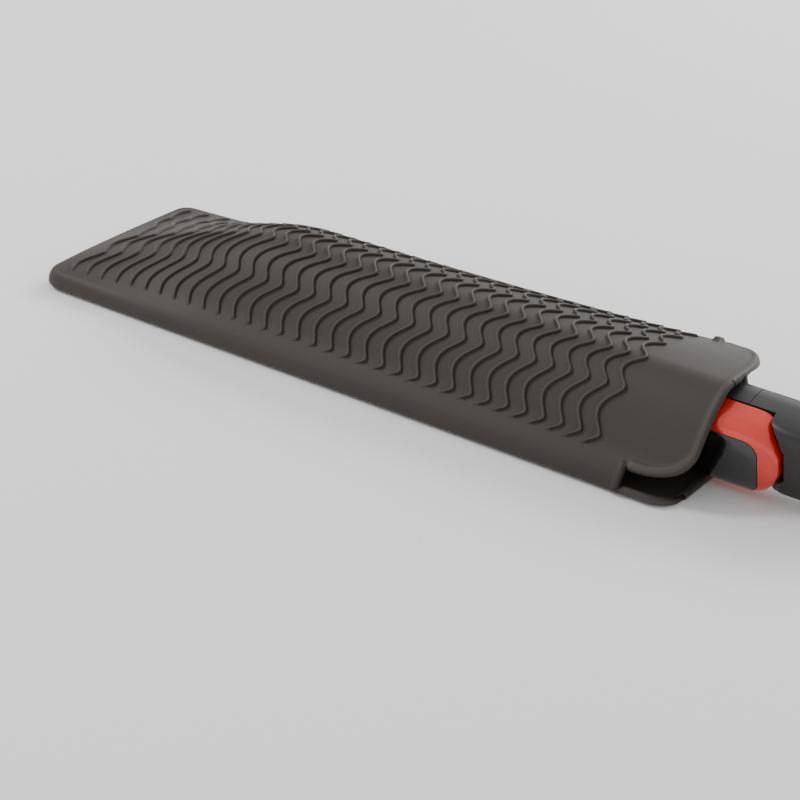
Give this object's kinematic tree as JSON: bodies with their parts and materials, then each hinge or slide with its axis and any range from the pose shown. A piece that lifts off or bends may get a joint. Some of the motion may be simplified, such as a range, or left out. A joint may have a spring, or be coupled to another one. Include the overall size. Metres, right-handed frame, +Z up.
{
  "type": "flat iron in storage pouch",
  "caption": "Hair-straightening flat iron with two hinged heated arms, lying closed on its side in a slide-off ribbed silicone heat pouch.",
  "frame": {"origin": "on the flat underside of the pouch, at its mouth (the ends of the side seams), on the pouch's centre line", "axes": "+X out of the pouch's mouth towards the iron's tail, +Y towards the lifted back rim, +Z up"},
  "size_m": [0.38, 0.0985, 0.042],
  "materials": {
    "silicone": "matte moulded silicone",
    "casing": "fine matte",
    "gloss_black": "polished",
    "red_trim": "metallic gloss lacquer",
    "liner": "satin",
    "carrier": "heat-resistant, matte",
    "plate": "polished ceramic-coated",
    "ceramic": "fired ceramic",
    "mica": "satin sheet",
    "cushion": "matte silicone",
    "steel": "bright",
    "brass": "turned",
    "board": "lacquered",
    "lead": "satin sleeve"
  },
  "bodies": {
    "main": {"rear_arm_shell": "casing", "tail_housing": "casing", "tail_back_cover": "casing", "rear_inner_cover": "liner", "rear_plate_carrier": "carrier", "rear_cushion_tip": "cushion", "rear_cushion_root": "cushion", "rear_heater_lead_1": "lead", "rear_heater_lead_2": "lead", "mains_lead_1": "lead", "mains_lead_2": "lead", "circuit_board": "board", "display_window": "gloss_black", "rear_cover_screw_1": "steel", "rear_cover_screw_2": "steel", "tail_screw_1": "steel", "tail_screw_2": "steel", "hinge_pin": "steel", "hinge_spring": "steel"},
    "front_arm": {"front_arm_shell": "liner", "gloss_panel": "gloss_black", "accent_trim": "red_trim", "front_inner_cover": "liner", "front_plate_carrier": "carrier", "front_cushion_tip": "cushion", "front_cushion_root": "cushion", "front_heater_lead_1": "lead", "front_heater_lead_2": "lead", "front_cover_screw_1": "steel", "front_cover_screw_2": "steel", "hinge_bush_lower": "brass", "hinge_bush_upper": "brass"},
    "rear_plate": {"rear_heating_plate": "plate", "rear_heater": "ceramic", "rear_mica_insulator": "mica", "rear_temperature_sensor": "ceramic"},
    "front_plate": {"front_heating_plate": "plate", "front_heater": "ceramic", "front_mica_insulator": "mica", "front_thermal_fuse": "ceramic"},
    "power_button": {"power_button": "red_trim"},
    "plus_button": {"plus_button": "liner"},
    "minus_button": {"minus_button": "liner"},
    "cord_swivel": {"cord_swivel": "liner"},
    "pouch": {"pouch_upper_wall": "silicone", "pouch_lower_wall": "silicone"}
  },
  "joints": [
    {"name": "pouch_slide", "type": "slide", "parent": "main", "child": "pouch", "axis": [-1, 0, 0], "range_m": [0, 0.27], "deforming": ["pouch_upper_wall", "pouch_lower_wall"]},
    {"name": "arm_hinge", "type": "hinge", "parent": "main", "child": "front_arm", "pos_m": [0.04, -0.01486, 0.01926], "axis": [0, -0.2588, 0.9659], "range_deg": [0, 15]},
    {"name": "rear_plate_float", "type": "slide", "parent": "main", "child": "rear_plate", "axis": [0, 0.9659, 0.2588], "range_m": [0, 0.0007], "stiffness_N_per_m": 3000},
    {"name": "front_plate_float", "type": "slide", "parent": "front_arm", "child": "front_plate", "axis": [0, -0.9659, -0.2588], "range_m": [0, 0.0007], "stiffness_N_per_m": 3000},
    {"name": "power_press", "type": "slide", "parent": "main", "child": "power_button", "axis": [0, 0.9659, 0.2588], "range_m": [0, 0.0005], "stiffness_N_per_m": 400},
    {"name": "plus_press", "type": "slide", "parent": "main", "child": "plus_button", "axis": [0, 0.9659, 0.2588], "range_m": [0, 0.0005], "stiffness_N_per_m": 400},
    {"name": "minus_press", "type": "slide", "parent": "main", "child": "minus_button", "axis": [0, 0.9659, 0.2588], "range_m": [0, 0.0005], "stiffness_N_per_m": 400},
    {"name": "swivel_turn", "type": "hinge", "parent": "main", "child": "cord_swivel", "pos_m": [0.078, -0.011, 0.0203], "axis": [1, 0, 0], "continuous": true}
  ],
  "couplings": [
    {"joint": "arm_hinge", "follows": "pouch_slide", "rad_per_m": 0.96963}
  ]
}
